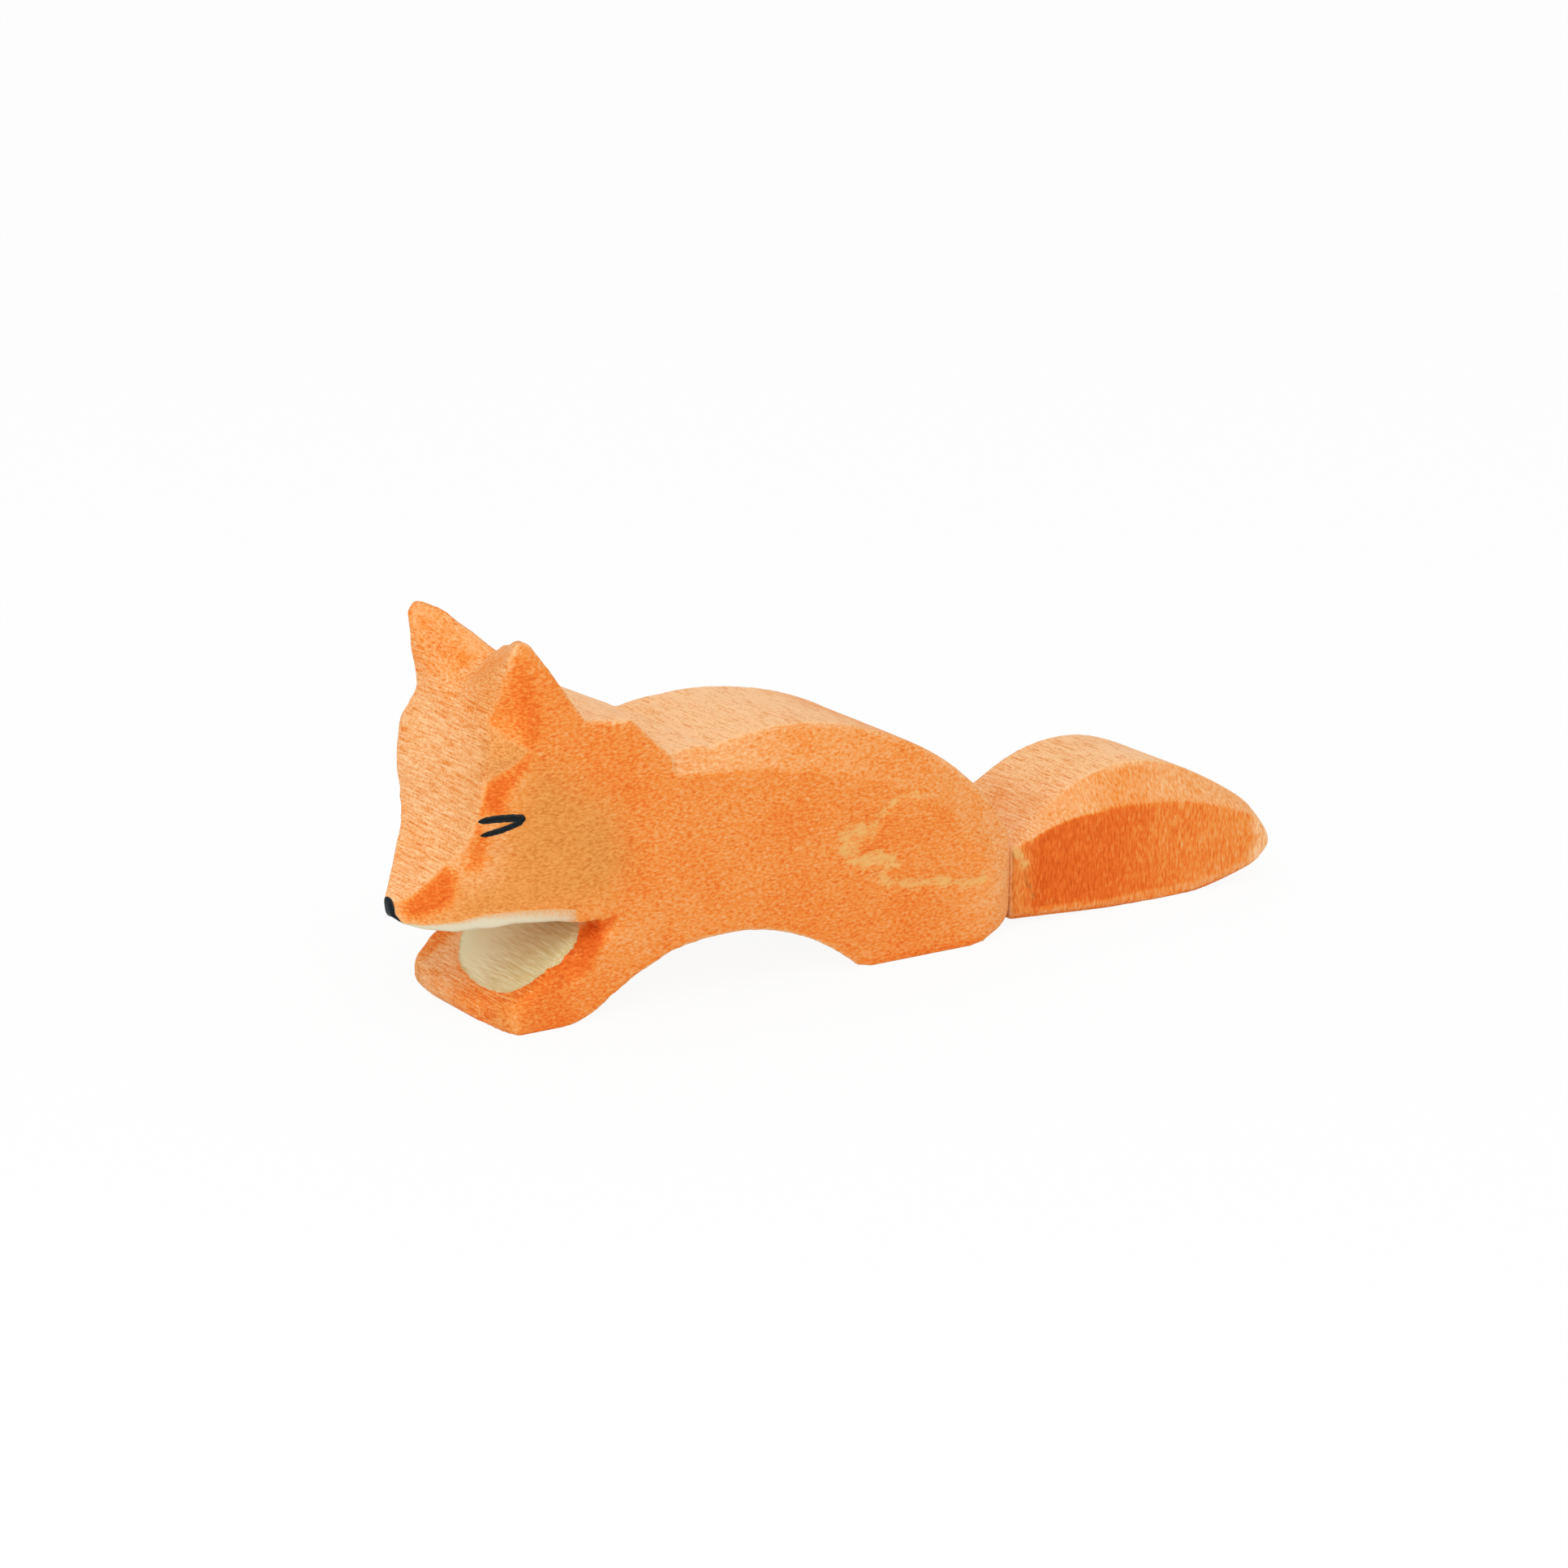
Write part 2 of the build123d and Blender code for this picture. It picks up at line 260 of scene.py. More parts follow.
table_mesh = bpy.data.meshes.new("table")
bm = bmesh.new()
bmesh.ops.create_grid(bm, x_segments=1, y_segments=1, size=table_width / 2)
bmesh.ops.translate(bm, verts=bm.verts, vec=(0, 0, -table_drop))
bm.to_mesh(table_mesh)
bm.free()
table = bpy.data.objects.new("table", table_mesh)
table_mesh.materials.append(table_paint)
scene.collection.objects.link(table)
print("The table is", table_width, "m wide")

# %% [markdown]
# ## Light
# The light in the picture is soft and comes from nearly all round. The sky gives most of it, but alone
# it would leave the carved forms flat. So one broad lamp hangs high at the front left, and a weaker one
# stands low in front to reach under the jaw. The sky is white to the camera in the same way as the table.

# %% Hang the lamps
sky_light = 0.80


def hang_lamp(name, place, width, power):
    """A square lamp that shines at the fox."""
    lamp_data = bpy.data.lights.new(name, "AREA")
    lamp_data.size = width
    lamp_data.energy = power
    lamp = bpy.data.objects.new(name, lamp_data)
    lamp.location = place
    lamp.rotation_euler = (-Vector(place)).to_track_quat("-Z", "Y").to_euler()
    scene.collection.objects.link(lamp)
    print(name, "hangs", round(Vector(place).length, 2), "m from the fox")


sky = bpy.data.worlds.new("sky")
sky.use_nodes = True
sky.node_tree.nodes.clear()
start = Tone(sky.node_tree)
sky_colour = mix_colours(seen_directly(start), (sky_light, sky_light, sky_light, 1), (1, 1, 1, 1))
sky_shader = start.node("ShaderNodeBackground", {}, {"Color": sky_colour, "Strength": 1})
start.node("ShaderNodeOutputWorld", {}, {"Surface": sky_shader}, None)
scene.world = sky

hang_lamp("high_lamp", place=(-0.22, -0.40, 0.55), width=0.55, power=1.3)
hang_lamp("low_lamp", place=(-0.46, -0.22, 0.08), width=0.40, power=0.55)

# %% [markdown]
# ## From solids to wood
# The body is one piece of wood, but its solid has shallow pockets where paint will go. A copy of it
# joined with the paint's solids fills them. The copy is triangles of all sizes, which can't be carved,
# so a voxel Remesh lays an even skin over it, with small squares that can be pushed about freely.

# %% Copy the body and the tail
square_side = 0.31 * mm
same_place = 0.001 * mm  # vertices nearer than this are one
paint_nodes = ["chest_patch", "left_jaw_stripe", "right_jaw_stripe", "nose_cap", "left_eye", "right_eye"]


def copy_in_wood(name, *nodes):
    """A new piece with an even skin over copies of some solids."""
    bm = bmesh.new()
    for node in nodes:
        bm.from_mesh(frame["nodes"][node].data)
    bmesh.ops.remove_doubles(bm, verts=bm.verts, dist=same_place)
    mesh = bpy.data.meshes.new(name)
    bm.to_mesh(mesh)
    bm.free()
    piece = bpy.data.objects.new(name, mesh)
    scene.collection.objects.link(piece)
    skin = piece.modifiers.new("skin", "REMESH")
    skin.mode = "VOXEL"
    skin.voxel_size = square_side
    graph = bpy.context.evaluated_depsgraph_get()
    piece.data = bpy.data.meshes.new_from_object(piece.evaluated_get(graph))
    piece.modifiers.clear()
    bpy.data.meshes.remove(mesh)
    print(name, "has", len(piece.data.polygons), "squares")
    return piece


body = copy_in_wood("fox_body", "body", *paint_nodes)
tail = copy_in_wood("fox_tail", "tail")

# %% [markdown]
# ## Regions of wood
# A carver works on one region at a time, hardest in its middle. The brushes of Sculpt Mode do the same
# by hand. Here a region is an array with one number for every vertex, 1 in its middle and 0 outside,
# so that every stroke can be repeated, and corrected by changing a number.

# %% Near a place, along a line


def climb(value, low, high):
    """0 below low, 1 above high and a smooth climb between them."""
    share = np.clip((value - low) / (high - low), 0, 1)
    return share * share * (3 - 2 * share)


def near_to(places, centre, reach):
    """1 at a place, falling smoothly to 0 at reach from it."""
    return climb(1 - np.linalg.norm(places - centre, axis=1) / reach, 0, 1)


def along(places, line, width):
    """1 on a line through some places, falling to 0 at width from it."""
    nearest = np.full(len(places), np.inf)
    for first, second in zip(line, line[1:]):
        run = np.subtract(second, first)
        share = np.clip((places - first) @ run / (run @ run), 0, 1)
        nearest = np.minimum(nearest, np.linalg.norm(places - first - np.outer(share, run), axis=1))
    return climb(1 - nearest / width, 0, 1)


print("Regions are ready")

# %% [markdown]
# ## Carving
# A few strokes do most of the carving. Paring cuts away what stands above a plane, as one push of a
# knife does. Nudging moves a soft round region, and dragging moves what lies along a line. Rubbing
# rounds off what is sharp, as sandpaper does: it is Blender's own vertex smoothing, kept to a region.
# It also makes a piece smaller, so the sawn outline is first grown by as much, up to the solids' box.

# %% The carver's strokes
outline_growth = 0.14
sole_height = 0.5  # below this the wood is rubbed only sideways, so that the soles stay flat
pare_edge = 0.3  # share of the reach over which a cut runs out
rub_strength = 0.5
box_low = np.zeros(3) - (0, half_board, 0)
box_high = np.array(cad_high - cad_low) / mm - (0, half_board, 0)


def facing_of(piece):
    """The direction that every vertex faces."""
    flat = np.empty(len(piece.data.vertices) * 3)
    piece.data.vertices.foreach_get("normal", flat)
    return flat.reshape(-1, 3)


def grow(piece, node, amount):
    """Moves the sawn faces outwards, but not through the joint between rump and tail."""
    places = read_places(piece) + facing_of(piece) * (amount, 0, amount)
    low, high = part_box(node)
    places = np.clip(places, box_low, box_high)
    places[:, 0] = np.clip(places[:, 0], (low.x - cad_low.x) / mm, (high.x - cad_low.x) / mm)
    write_places(piece, places)


def pare(piece, centre, facing, reach, ceiling):
    """Cuts away what stands above the plane through centre, within reach and below a ceiling."""
    places = read_places(piece)
    facing = np.array(facing) / np.linalg.norm(facing)
    above = np.clip((places - centre) @ facing, 0, None)
    share = climb(1 - np.linalg.norm(places - centre, axis=1) / reach, 0, pare_edge)
    above = above * share * (places[:, 2] < ceiling)
    write_places(piece, places - np.outer(above, facing))


def nudge(piece, centre, move, reach):
    """Moves the wood round centre, less and less towards reach."""
    places = read_places(piece)
    write_places(piece, places + np.outer(near_to(places, centre, reach), move))


def drag(piece, line, move, width):
    """Moves the wood along a line on both sides, less and less towards width."""
    places = read_places(piece)
    write_places(piece, places + np.outer(along(np.abs(places), line, width), move))


def rub(piece, chosen, times, flat=False):
    """Smooths the chosen vertices several times, only sideways where they have to stay flat."""
    bm = bmesh.new()
    bm.from_mesh(piece.data)
    bm.verts.ensure_lookup_table()
    verts = [bm.verts[index] for index in np.flatnonzero(chosen)]
    for _ in range(times):
        bmesh.ops.smooth_vert(
            bm,
            verts=verts,
            factor=rub_strength,
            use_axis_x=True,
            use_axis_y=True,
            use_axis_z=not flat,
        )
    bm.to_mesh(piece.data)
    bm.free()
    print("Rubbed", len(verts), "vertices of", piece.name)


for piece, node in ((body, "body"), (tail, "tail")):
    grow(piece, node, outline_growth)
    low_down = read_places(piece)[:, 2] < sole_height
    rub(piece, ~low_down, times=3)
    rub(piece, low_down, times=10, flat=True)

# %% [markdown]
# ## Head and feet
# The knife left the head and the feet softer than the solids: the hollow under the brow runs out into
# the cheek, the ears and the far edge of the face are round, the edge between chest and leg was cut off
# on a slant, and the heels are rounded like a ball. A Bevel modifier would round every edge alike, so
# each is cut or rubbed by itself. All but the far edge are worked on both sides.

# %% Cut the legs and rub the edges
brow_hollow = np.array((11.4, 11.0, 25.4))
brow_front = 8.9  # the front of the brow stays sharp
ear_tip = np.array((10.2, 10.8, 40.4))
ear_tip_move = (-0.65, 0, 0.05)
ears_from = 33.5
ear_valley = np.array((9.0, 3.6, 35.6))
heel = np.array((71.6, 10.4, 0.8))
leg_cut = np.array((16.2, 10.3, 7.56))
leg_facing = np.array((-0.39, 0.44, 0.81))
shin_cut = np.array((17.8, 11.4, 7.4))
shin_facing = np.array((-0.41, 0.87, 0.28))
leg_edge = [(20.6, 11.2, 9.8), (16.9, 11.3, 6.6), (13.0, 11.4, 5.0), (9.5, 11.2, 3.2)]
toe_corner = [(9.4, 11.4, 3.0), (9.4, 11.4, 0.8)]
toe_edge = [(8.4, 0, 2.8), (8.8, 9.0, 2.9), (9.4, 11.3, 3.2)]
far_edge = [
    (9.0, 11.2, 38.5), (8.4, 11.0, 35.0), (8.0, 10.2, 32.0),
    (7.5, 9.3, 29.6), (6.6, 9.0, 26.3), (6.3, 8.6, 22.9),
]
jaw_clearance = 10.5  # the jaw starts just above this height

for sign in (-1, 1):
    mirror = np.array((1, sign, 1))
    pare(body, leg_cut * mirror, leg_facing * mirror, 7.0, jaw_clearance)
    pare(body, shin_cut * mirror, shin_facing * mirror, 5.0, jaw_clearance)
    nudge(body, ear_tip * mirror, ear_tip_move, 3.2)

places = read_places(body)
sides = np.abs(places)
above_sole = sides[:, 2] > sole_height
rubs = [
    ((near_to(sides, brow_hollow, 5.6) > 0) & (sides[:, 0] > brow_front), 40),
    (near_to(sides, ear_tip, 2.4) > 0, 6),
    (sides[:, 2] > ears_from, 8),
    (along(places, far_edge, 1.3) > 0, 24),
    (near_to(sides, ear_valley, 4.6) > 0, 30),
    (near_to(sides, heel, 4.6) > 0, 24),
    ((along(sides, leg_edge, 1.6) > 0) & above_sole, 16),
    ((along(sides, toe_corner, 2.0) > 0) & above_sole, 30),
    ((along(sides, toe_edge, 1.2) > 0) & above_sole, 8),
]
for region, times in rubs:
    rub(body, region, times)

# %% [markdown]
# ## Outline of the body
# The solids are drawn with arcs and straight lines, but a knife follows no ruler. A last row of strokes,
# none longer than a millimetre, brings the outline to that of the picture: the jaw dips, the toes reach
# forward and the nape sinks. Each stroke is a place, a move and a reach, so a table holds them all.

# %% Bring the outline to the picture's
drags = [
    ([(2.8, 4.0, 10.8), (4.6, 5.7, 10.8)], (0, 0, -0.42), 3.2),  # jaw in front
    ([(10.5, 9.4, 10.8), (13.6, 10.5, 10.8)], (0, 0, 0.5), 3.4),  # jaw behind
    ([(21.5, 11.4, 4.0), (25.0, 11.4, 5.6)], (0.1, 0, -0.3), 2.6),  # front of the arch
    ([(66.4, 0, 0), (66.4, 11.5, 0)], (0, 0, 0.2), 1.5),  # under the heel
    ([(51.1, 9.0, 0), (51.1, 11.5, 0)], (0.1, 0, 0.22), 1.2),  # under the knee
]
nudges = [
    ((8.2, 9.6, 33.0), (0.1, -0.5, 0), 4.5),  # far brow
    ((6.4, 7.6, 26.0), (-0.5, 0.15, 0), 6.5),  # far edge of the face
    ((2.0, 2.5, 16.5), (0.2, 0, 0), 4.0),  # bridge of the nose
    ((12.3, 0, 38.0), (0.2, 0, -0.45), 4.0),  # valley between the ears
    ((10.0, -11.0, 40.5), (0, 0, 0.3), 3.0),  # tip of the left ear
    ((10.4, -7.9, 39.6), (0, 0, 0.4), 2.4),  # inner rim of the left ear
    ((10.0, 11.0, 40.5), (-0.15, 0, 0.1), 3.0),  # tip of the right ear
    ((9.0, -10.5, 1.0), (-0.55, 0, 0), 5.0),  # left toes
    ((8.8, 9.9, 2.4), (-0.3, 0, 0), 4.0),  # right toes
    ((0.6, 0, 10.8), (0.2, 0, 0.3), 2.2),  # chin
    ((9.8, 8.5, 3.6), (0, 0, -0.35), 4.0),  # far paw
    ((22.8, -2.5, 31.5), (0, 0, -0.25), 6.0),  # nape in front of the cut
    ((36.0, 8.5, 26.8), (0, 0, 0.2), 5.0),  # nape behind the cut
    ((46.5, 6.0, 27.5), (0, 0, -0.2), 8.0),  # back
]

for line, move, width in drags:
    drag(body, line, move, width)
for centre, move, reach in nudges:
    nudge(body, centre, move, reach)
print(len(drags), "drags and", len(nudges), "nudges")

# %% [markdown]
# ## Tail
# The lower edges of the tail are cut off narrowly, and its tip is blunt. A Bevel modifier would take the
# upper edges too, so only the vertices near the lower ones are moved. The height of the underside at
# every station is read from the mesh itself, by sorting the vertices into short stretches.

# %% Carve the tail
edge_cut = 0.6
tip_length = 2.2
low_edge_line = [(92.0, 8.0, 0.4), (105.0, 8.0, 2.6)]
half_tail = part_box("tail")[1].y / mm
tail_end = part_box("tail")[1].x / mm - cad_low.x / mm


def underside(places):
    """Height of the lowest wood at the station of every place."""
    stretch = np.round(places[:, 0]).astype(int)
    lowest = np.full(stretch.max() + 1, np.inf)
    np.minimum.at(lowest, stretch, places[:, 2])
    filled = np.flatnonzero(np.isfinite(lowest))
    return np.interp(places[:, 0], filled, lowest[filled])


places = read_places(tail)
from_edge = half_tail - np.abs(places[:, 1]) + places[:, 2] - underside(places)
cut = np.clip(edge_cut - from_edge, 0, None) / 2
places[:, 1] -= np.sign(places[:, 1]) * cut
places[:, 2] += cut
write_places(tail, places)
rub(tail, places[:, 0] > tail_end - tip_length, 6)
drag(tail, low_edge_line, (0.1, 0, -0.28), 6.0)

# %% [markdown]
# ## Knife marks
# No carved face is quite flat. A slow noise moves every vertex a little along its normal, and a shallow
# groove follows the scrape that draws the thigh. A bump in the material could stand in for both, but it
# wouldn't show along the edges. The scrape's lines are used again for the stain.

# %% Make the wood uneven
unevenness = 0.04
uneven_size = 5.0
scrape_depth = 0.12
thigh_top = [(59.2, 11.5, 18.1), (55.8, 11.5, 18.4), (54.0, 11.5, 17.2), (52.7, 11.5, 15.8)]
knee_high = [(48.9, 11.5, 14.6), (50.3, 11.5, 15.1), (51.8, 11.5, 15.0)]
knee_low = [(49.1, 11.5, 13.0), (50.9, 11.5, 11.8), (52.8, 11.5, 12.0), (54.8, 11.5, 11.1)]
thigh_low = [
    (53.0, 11.5, 10.2), (54.5, 11.5, 8.9), (58.0, 11.5, 8.2),
    (61.2, 11.5, 8.0), (64.4, 11.5, 7.2), (66.6, 11.5, 7.2),
]
scrapes = [(thigh_top, 0.9, 0.7), (knee_high, 1.9, 0.9), (knee_low, 1.9, 0.9), (thigh_low, 1.2, 0.85)]


def scraped(places):
    """How much of the stain was scraped off along the lines of the thigh."""
    sides = np.abs(places)
    return np.maximum.reduce([depth * along(sides, line, width) for line, width, depth in scrapes])


for piece in (body, tail):
    places = read_places(piece)
    waves = np.array([noise.noise(Vector(place) / uneven_size) for place in places])
    lift = unevenness * (waves - 1)
    if piece is body:
        lift -= scrape_depth * scraped(places)
    lift *= climb(places[:, 2], 0, 1)
    write_places(piece, np.clip(places + facing_of(piece) * lift[:, None], box_low, box_high))
print("Waves reach", round(float(waves.max() * unevenness), 3), "mm")

# %% [markdown]
# ## Stain
# The maker brushed on one thin orange stain. Where the saw left the wood open it soaked in unevenly
# and looks pale, on the planed sides it is deep, and in corners it is almost red, from stain that ran
# together and from painted shade.
# The amount of stain is worked out for every vertex from which way the wood faces and where it lies,
# and stored as an attribute. The material then turns the amount into a colour. Vertex Paint could store
# the same amounts by hand, but a rule is easier to correct.

# %% How much stain lies where
sawn_turn = (0.25, 0.6)  # a face that is turned to the side by less is sawn, by more it isn't
planed_turn = (0.86, 0.985)  # a face that is turned to the side by more is planed
worn_ridge = (0.012, 0.05)  # height of a ridge where wear begins and where it is full


def keep_mark(piece, name, amount):
    """Stores one number for every vertex, for the material to read."""
    mark = piece.data.attributes.new(name, "FLOAT", "POINT")
    mark.data.foreach_set("value", np.asarray(amount, np.float32))


def brush(amount, share, target):
    """Brings an amount nearer to a target."""
    return amount + (target - amount) * share


def ridges(piece):
    """How far every vertex stands out from its neighbours, in millimetres: more than 0 on edges."""
    ends = np.empty(len(piece.data.edges) * 2, np.int32)
    piece.data.edges.foreach_get("vertices", ends)
    first, second = ends.reshape(-1, 2).T
    places = read_places(piece)
    total = np.zeros_like(places)
    count = np.zeros(len(places))
    for here, there in ((first, second), (second, first)):
        np.add.at(total, here, places[there])
        np.add.at(count, here, 1)
    return np.einsum("ij,ij->i", places - total / count[:, None], facing_of(piece))


def face_kinds(piece):
    """How far every vertex lies on a sawn face, and how far on a planed side, by the way it faces."""
    across = np.abs(facing_of(piece)[:, 1])
    return 1 - climb(across, *sawn_turn), climb(across, *planed_turn)


def inside(places, outline, softness):
    """1 inside an outline of stations and heights on the side view, 0 outside, with a soft edge."""
    spots = places[:, [0, 2]]
    within = np.zeros(len(places), bool)
    nearest = np.full(len(places), np.inf)
    for first, second in zip(outline, outline[1:] + outline[:1]):
        offset = spots - first
        run = np.subtract(second, first)
        crossed = (offset[:, 1] < 0) != (offset[:, 1] < run[1])
        within ^= crossed & (offset[:, 0] < offset[:, 1] * run[0] / (run[1] or 1))
        share = np.clip(offset @ run / (run @ run), 0, 1)
        nearest = np.minimum(nearest, np.linalg.norm(offset - np.outer(share, run), axis=1))
    return climb(np.where(within, nearest, -nearest), -softness, softness)


print("The stain brush is ready")

# %% [markdown]
# ## Pooled stain and painted shade
# Each of these outlines goes round one small face of the carving, on the side view. In the hollow of the
# ear, under the brow, below the eye, beside the muzzle and on the cut of the leg the wood is darker: the
# stain pooled there, and painted shade lies on top.
# The cheek and the ledge of the brow took a thin coat and look tan. Outlines are used because these
# faces run into each other, so the way they face doesn't tell them apart.

# %% Draw the outlines of the pools
ear_hollow = [
    (9.7, 39.8), (8.8, 37.3), (8.4, 34.9), (8.0, 32.9), (8.2, 32.0), (8.9, 31.1),
    (10.0, 30.0), (10.7, 29.7), (10.7, 32.0), (10.8, 35.4), (10.5, 38.0),
]
behind_crease = [
    (9.9, 39.2), (11.2, 37.1), (12.1, 34.5), (12.2, 31.9),
    (11.0, 29.8), (10.1, 32.0), (9.8, 34.6), (9.7, 37.2),
]
brow_ledge = [
    (8.0, 32.3), (9.0, 31.0), (10.9, 29.9), (9.6, 28.6),
    (8.2, 27.6), (7.1, 26.7), (6.4, 27.0), (7.0, 31.0),
]
under_brow = [
    (10.7, 29.5), (11.2, 28.6), (10.1, 26.9), (9.0, 24.8), (8.5, 23.2),
    (6.4, 23.2), (6.6, 24.9), (7.5, 26.7), (9.1, 28.0),
]
under_eye = [(6.3, 22.5), (7.6, 20.8), (7.8, 18.1), (7.0, 16.7), (5.8, 17.0), (6.1, 19.9)]
muzzle_side = [
    (4.2, 17.5), (5.0, 16.3), (5.1, 14.1), (4.4, 12.8),
    (2.4, 11.5), (1.3, 11.6), (1.0, 12.8), (2.6, 15.2),
]
cheek = [
    (7.8, 16.5), (9.2, 19.8), (9.6, 23.6), (11.5, 28.0), (14.0, 27.0), (20.4, 22.1),
    (22.3, 16.6), (19.4, 13.2), (15.3, 11.9), (3.4, 10.6), (4.6, 14.6),
]
leg_cut_face = [
    (17.0, 10.8), (20.8, 10.8), (19.1, 8.2), (17.4, 5.6), (15.0, 4.0),
    (11.5, 2.8), (9.0, 2.6), (10.0, 4.6), (14.0, 8.0),
]
# Deeper stain and painted shade: each pool darkens a hollow or an underside.
shaded_pools = [  # outline, softness and amount of stain
    (ear_hollow, 0.3, 0.62),
    (behind_crease, 0.9, 0.84),
    (under_brow, 0.7, 0.88),
    (under_eye, 0.7, 0.80),
    (muzzle_side, 0.8, 0.92),
]
print(len(shaded_pools), "pools of stain")

# %% [markdown]
# ## Faces of the body
# Before the stain is laid on, every vertex is asked where it belongs: to a sawn face, to a planed side,
# to the head, to the feet or to the ledge of the brow. The answers are numbers from 0 to 1, because
# the carved faces run into each other.

# %% Sort the body's faces
places = read_places(body)
station, side, height = places.T
sides = np.abs(places)
sawn, planed = face_kinds(body)
ledge = inside(places, brow_ledge, 0.4) * climb(sides[:, 1], 4.5, 6.5)
sawn = np.maximum(sawn, ledge)
head = 1 - climb(station, 16, 19)
feet = head * climb(jaw_clearance - height, 0, 0.5)
left_face = sawn * head * (1 - feet) * climb(-side, 2.0, 6.5)
left_ledge = np.minimum(2 * inside(places, brow_ledge, 1.4), 1) * sawn * climb(-side, 4.0, 11.0)
print("Sawn share of the body:", round(float(sawn.mean()), 2))

# %% [markdown]
# ## Stain on the body
# The coat starts from the way the wood faces: sawn faces are pale, slanted ones are darker and the
# planed sides are darkest. Then come the regions that get amounts of their own, some of them painted
# light and shade: the paler far paw, a highlight on the rump's edge, and shade on the leg's cut and along
# the bottom edges. Last come the edges, where handling has rubbed the colour thin.

# %% Stain the body
sawn_stain = 0.22
bevel_stain = 0.35
side_stain = 0.60
face_stain = 0.26
forehead_gain = 0.11
far_ear_gain = 0.16
nape_stain = 0.04
rump_gain = 0.40
far_paw_lit_stain = 0.30
near_paw_gain = 0.32
leg_stain_and_shade = 0.72
leg_shade_gain = 0.36
sole_edge_shade_stain = 0.80
rump_highlight_stain = 0.38
worn_loss = 0.22
touches = [  # place, reach and amount of stain
    ((68.0, 11.5, 4.0), 12.0, 0.42),  # heel
    ((23.0, 11.5, 7.0), 7.0, 0.50),  # front of the arch
    ((12.5, 11.5, 2.5), 6.0, 0.72),  # paw
    ((13.5, 11.0, 36.0), 6.0, 0.68),  # back of the ear
]
rump_edge = [(68.1, 10.2, 13.4), (69.3, 10.4, 11.0), (69.0, 11.0, 8.9), (68.5, 11.4, 4.0)]

stain = brush(brush(bevel_stain, sawn, sawn_stain), planed, side_stain)
far_ear = far_ear_gain * climb(side, 2, 6) * climb(height, 33, 36)
stain = brush(stain, sawn * head, face_stain + forehead_gain * climb(height, 29, 35) + far_ear)
stain = brush(stain, sawn * (1 - head), nape_stain + rump_gain * climb(station, 47, 60))
# Less stain on the far paw: partly painted light on a front that the lamps leave dim.
stain = brush(stain, sawn * feet, far_paw_lit_stain + near_paw_gain * climb(-side, -6, 6))
for place, reach, amount in touches:
    stain = brush(stain, near_to(sides, place, reach), amount)
# A paler line on the rump's rear edge: painted highlight, and partly rubbed wear.
stain = brush(stain, 0.6 * along(sides, rump_edge, 2.0), rump_highlight_stain)
pooled_and_shaded = np.zeros(len(places))
# Each pool paints deeper stain and shade inside its outline.
for outline, softness, amount in shaded_pools:
    pool = inside(places, outline, softness) * (1 - sawn)
    stain = brush(stain, pool, amount)
    pooled_and_shaded = np.maximum(pooled_and_shaded, pool)
# The leg's cut below the jaw: deeper stain, and more of it higher up as painted shade under the jaw.
leg = inside(places, leg_cut_face, 0.7) * climb(sides[:, 1], 8.0, 9.4)
stain = brush(stain, leg, leg_stain_and_shade + leg_shade_gain * climb(height, 4.0, 8.0))
# Darker along the bottom of the planed sides: deeper stain and painted shade near the table.
stain = brush(stain, 0.7 * climb(1.3 - height, 0, 1) * planed, sole_edge_shade_stain)
worn = climb(ridges(body), *worn_ridge) * climb(height, 1.5, 5.0) * (1 - ledge)
stain = stain - worn_loss * worn
keep_mark(body, "stain", stain)
keep_mark(body, "sawn", sawn)
print("Stain on the body:", round(float(stain.min()), 2), "to", round(float(stain.max()), 2))

# %% [markdown]
# ## Tan and bare wood
# Where the coat is thin the fox isn't paler but tan, as on the cheek, the ledge of the brow and the toes.
# Along the scrape of the thigh the wood is bare. Both are other colours than the stain's, so they can't
# be reached by less stain and get amounts of their own.

# %% Mark the tan and the bare wood
ledge_tan = 0.9
face_tan = 0.3
toe_tan = 0.7
toe_place = (9.2, 9.5, 0.6)

tan = np.maximum.reduce([
    inside(places, cheek, 3.2) * (1 - sawn) * (1 - pooled_and_shaded),
    ledge_tan * left_ledge,
    face_tan * left_face,
    toe_tan * near_to(sides, toe_place, 3.6),
])
keep_mark(body, "tan", tan)
keep_mark(body, "bare", scraped(places))
keep_mark(body, "brown", np.zeros(len(places)))
print("Tan share of the body:", round(float(tan.mean()), 2))

# %% [markdown]
# ## Stain on the tail
# The tail was stained by itself: its side is nearly red at the root and fades towards the tip, which
# is bare on the end grain. Two brown lines run down the root, and the lower edge is darker, partly as
# painted shade. The same helpers do it, with amounts of their own.

# %% Stain the tail
root_chip = [(72.8, 8.7, 8.7), (73.5, 8.7, 8.0), (74.2, 8.7, 6.9)]
joint_line = [(72.5, 8.7, 9.0), (72.6, 8.7, 1.6)]
root_brown_line = [(74.0, 8.7, 6.1), (75.3, 8.7, 3.1)]
tip_line = [(106.3, 8.7, 6.6), (107.4, 8.7, 5.2), (107.2, 8.7, 4.2), (106.2, 8.7, 3.2)]
low_edge_stain_and_shade = 0.66
pale_line_stain = 0.2
root_stain = 0.66
root_tan = 0.3
tip_stain = 0.06
tail_worn_loss = 0.3

places = read_places(tail)
station, _, height = places.T
sides = np.abs(places)
sawn, planed = face_kinds(tail)
top_stain = 0.26 - 0.18 * climb(station, 76, 84)
fading_stain = 1.0 - 0.4 * climb(station, 76, 104)
stain = brush(brush(bevel_stain, sawn, top_stain), planed, fading_stain)
above_edge = height - underside(places)
low_edge = climb(1.0 - above_edge, 0, 0.6) * climb(sides[:, 1], 6.5, 7.4)
pale_line = climb(1 - np.abs(above_edge - 1.0) / 0.5, 0, 1) * climb(sides[:, 1], 7.4, 8.2)
